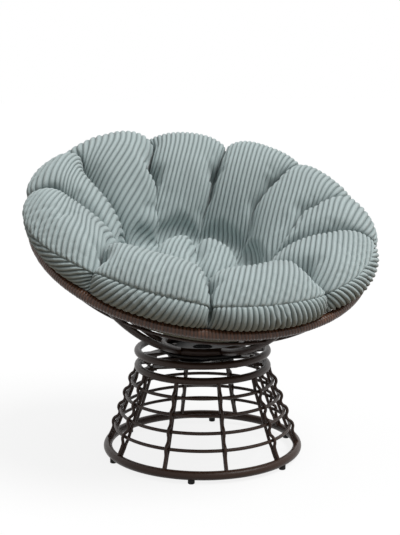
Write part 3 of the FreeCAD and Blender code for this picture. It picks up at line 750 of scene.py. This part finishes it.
def read_moves(moves, flat_r, angle, disc_r):
    """Cloth moves at places on the flat disc, read between the coarse grid's points."""
    rows, sides, _ = moves.shape
    padded = np.concatenate([np.zeros((1, sides, 3)), moves])
    row = np.clip(flat_r / disc_r * rows, 0, rows - 1e-6)
    side = (angle / (2 * np.pi) % 1.0) * sides
    r0, s0 = row.astype(int), side.astype(int) % sides
    s1 = (s0 + 1) % sides
    fr, fs = (row - r0)[..., None], (side % 1.0)[..., None]
    low = padded[r0, s0] * (1 - fs) + padded[r0, s1] * fs
    high = padded[r0 + 1, s0] * (1 - fs) + padded[r0 + 1, s1] * fs
    return low * (1 - fr) + high * fr


def by_crease(panel, flat_r, angle):
    """How close places of a panel lie to a crease, from 0 to 1."""
    radius = panel.read(panel.lobe, flat_r, angle)[0]
    aside = lobe_places(angle, radius)[3] * radius
    reach = ramp(radius, *CREASE_LINE_R) if panel.top else 1 - ramp(panel.disc_r - flat_r, *CREASE_LINE_STRIP)
    return reach * np.exp(-(aside / CREASE_LINE) ** 2)


def panel_mesh(panel, moves):
    """Points of a panel with seam and wales, and each point's height on its wale, which also sets its colour and
    is 0 along the creases, so that painted shade lies there.
    """
    flat_r, angle, wale = fine_grid(panel)
    # Along the creases the wales lie flat and take the groove colour, which paints shade there.
    wale = wale * (1 - by_crease(panel, flat_r, angle))
    points = panel.surface(flat_r, angle)
    if moves is not None:
        points = points + read_moves(moves, flat_r, angle, panel.disc_r)
    normals = grid_normals(points)
    from_seam = panel.disc_r - flat_r
    points = points - (SEAM_SINK * np.exp(-from_seam / SEAM_WIDTH))[..., None] * normals
    level = TOP_WALE_LEVEL if panel.top else BOTTOM_WALE_LEVEL
    raised = panel.wale_depth * (wale - level) * np.clip(from_seam / SEAM_WIDTH, SEAM_WALE, 1)
    return points + raised[..., None] * normals, wale


def seam_loop(columns, rows, first):
    """Numbers of a grid's edge points, once round."""
    grid = first + np.arange(columns * rows).reshape(columns, rows)
    return np.concatenate([grid[:-1, 0], grid[-1, :-1], grid[:0:-1, -1], grid[0, :0:-1]])


def sew(points, upper, lower):
    """Triangles between two edge loops that run round the bowl side by side."""
    def sorted_round(loop):
        local = points[loop] - RIM_MIDDLE
        angle = np.arctan2(local @ RIM_ACROSS, -(local @ RIM_BACK))
        order = np.argsort(angle)
        return loop[order], angle[order]
    one, one_angle = sorted_round(upper)
    two, two_angle = sorted_round(lower)
    one_angle = np.append(one_angle, one_angle[0] + 2 * np.pi)
    two_angle = np.append(two_angle, two_angle[0] + 2 * np.pi)
    triangles, i, j = [], 0, 0
    while i < len(one) or j < len(two):
        a, b = one[i % len(one)], two[j % len(two)]
        if j >= len(two) or (i < len(one) and one_angle[i + 1] < two_angle[j + 1]):
            triangles.append((a, b, one[(i + 1) % len(one)]))
            i += 1
        else:
            triangles.append((a, b, two[(j + 1) % len(two)]))
            j += 1
    return triangles


def cushion():
    """Closed cover of two corduroy panels sewn together at the seam."""
    panels = Panel(True), Panel(False)
    moves = cloth_moves(*panels)
    parts, wales, faces, loops, first = [], [], [], [], 0
    for panel, panel_moves in zip(panels, moves):
        points, wale = panel_mesh(panel, panel_moves)
        columns, rows = wale.shape
        parts.append(points.reshape(-1, 3))
        wales.append(wale.ravel())
        faces += grid_faces(columns, rows, first, flip=panel.top).tolist()
        loops.append(seam_loop(columns, rows, first))
        first += columns * rows
    points = np.concatenate(parts)
    faces += sew(points, *loops)
    # The wale mark colours the cover: darker between the wales, partly ground and partly painted shade, and
    # painted shade along the creases.
    piece = new_piece("cushion_cover", points, faces, CORDUROY, wale=np.concatenate(wales))
    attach(piece, "seat")
    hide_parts("seat_cushion")
    return piece


# Studio

def seen_by_eye_or_mirror(tree):
    """1 for rays that show a surface straight, mirrored or through glass."""
    path = node(tree, "ShaderNodeLightPath")
    either = node(tree, "ShaderNodeMath", operation="MAXIMUM")
    any_of = node(tree, "ShaderNodeMath", operation="MAXIMUM")
    join(tree, path.outputs["Is Camera Ray"], either.inputs[0])
    join(tree, path.outputs["Is Glossy Ray"], either.inputs[1])
    join(tree, either.outputs[0], any_of.inputs[0])
    join(tree, path.outputs["Is Transmission Ray"], any_of.inputs[1])
    return any_of.outputs[0]


def studio_floor():
    """White floor that shows the chair's shadow."""
    half = FLOOR_SIZE / 2
    mesh = bpy.data.meshes.new("floor")
    mesh.from_pydata([(-half, -half, 0), (half, -half, 0), (half, half, 0), (-half, half, 0)], [], [(0, 1, 2, 3)])
    floor = bpy.data.objects.new("floor", mesh)
    bpy.context.scene.collection.objects.link(floor)
    material = bpy.data.materials.new("floor_white")
    material.use_nodes = True
    tree = material.node_tree
    tree.nodes.clear()
    lit = node(tree, "ShaderNodeBsdfDiffuse", {"Color": (FLOOR_SHADE, FLOOR_SHADE, FLOOR_SHADE, 1)})
    white = node(tree, "ShaderNodeEmission", {"Strength": 1 - FLOOR_SHADE})
    both = node(tree, "ShaderNodeAddShader")
    pale = node(tree, "ShaderNodeBsdfDiffuse", {"Color": FLOOR_BOUNCE})
    pick = node(tree, "ShaderNodeMixShader")
    end = node(tree, "ShaderNodeOutputMaterial")
    join(tree, lit.outputs[0], both.inputs[0])
    join(tree, white.outputs[0], both.inputs[1])
    join(tree, seen_by_eye_or_mirror(tree), pick.inputs[0])
    join(tree, pale.outputs[0], pick.inputs[1])
    join(tree, both.outputs[0], pick.inputs[2])
    join(tree, pick.outputs[0], end.inputs["Surface"])
    mesh.materials.append(material)


def studio_light():
    world = bpy.data.worlds.new("studio")
    bpy.context.scene.world = world
    world.use_nodes = True
    tree = world.node_tree
    tree.nodes.clear()
    way = node(tree, "ShaderNodeTexCoord")
    facing = node(tree, "ShaderNodeVectorMath", {1: SKY_WAY}, operation="DOT_PRODUCT")
    level = node(tree, "ShaderNodeMapRange", {"From Min": SKY_SPAN[0], "From Max": SKY_SPAN[1],
                                              "To Min": SKY_LOW, "To Max": SKY_HIGH})
    sky = node(tree, "ShaderNodeBackground", {"Color": (1, 1, 1, 1)})
    join(tree, way.outputs["Generated"], facing.inputs[0])
    join(tree, facing.outputs["Value"], level.inputs["Value"])
    join(tree, level.outputs["Result"], sky.inputs["Strength"])
    white = node(tree, "ShaderNodeBackground", {"Color": (1, 1, 1, 1), "Strength": 1.0})
    pick = node(tree, "ShaderNodeMixShader")
    end = node(tree, "ShaderNodeOutputWorld")
    join(tree, seen_by_eye_or_mirror(tree), pick.inputs[0])
    join(tree, sky.outputs[0], pick.inputs[1])
    join(tree, white.outputs[0], pick.inputs[2])
    join(tree, pick.outputs[0], end.inputs["Surface"])
    lamp = bpy.data.lights.new("key", "SUN")
    lamp.energy = SUN_LEVEL
    lamp.angle = math.radians(SUN_SPREAD)
    key = bpy.data.objects.new("key", lamp)
    key.rotation_euler = Vector(SUN_WAY).to_track_quat("-Z", "Y").to_euler()
    bpy.context.scene.collection.objects.link(key)


def camera():
    lens = bpy.data.cameras.new("camera")
    lens.sensor_width = SENSOR
    lens.lens = FOCAL_PX / max(IMAGE_W, IMAGE_H) * SENSOR
    eye = bpy.data.objects.new("camera", lens)
    eye.location = CAMERA_PLACE
    eye.rotation_euler = (math.radians(90 - CAMERA_DOWN), 0, math.radians(CAMERA_TURN))
    bpy.context.scene.collection.objects.link(eye)
    bpy.context.scene.camera = eye


bpy.context.scene.view_settings.view_transform = "Standard"
finish_nodes()
wicker_rim()
cushion()
studio_floor()
studio_light()
camera()
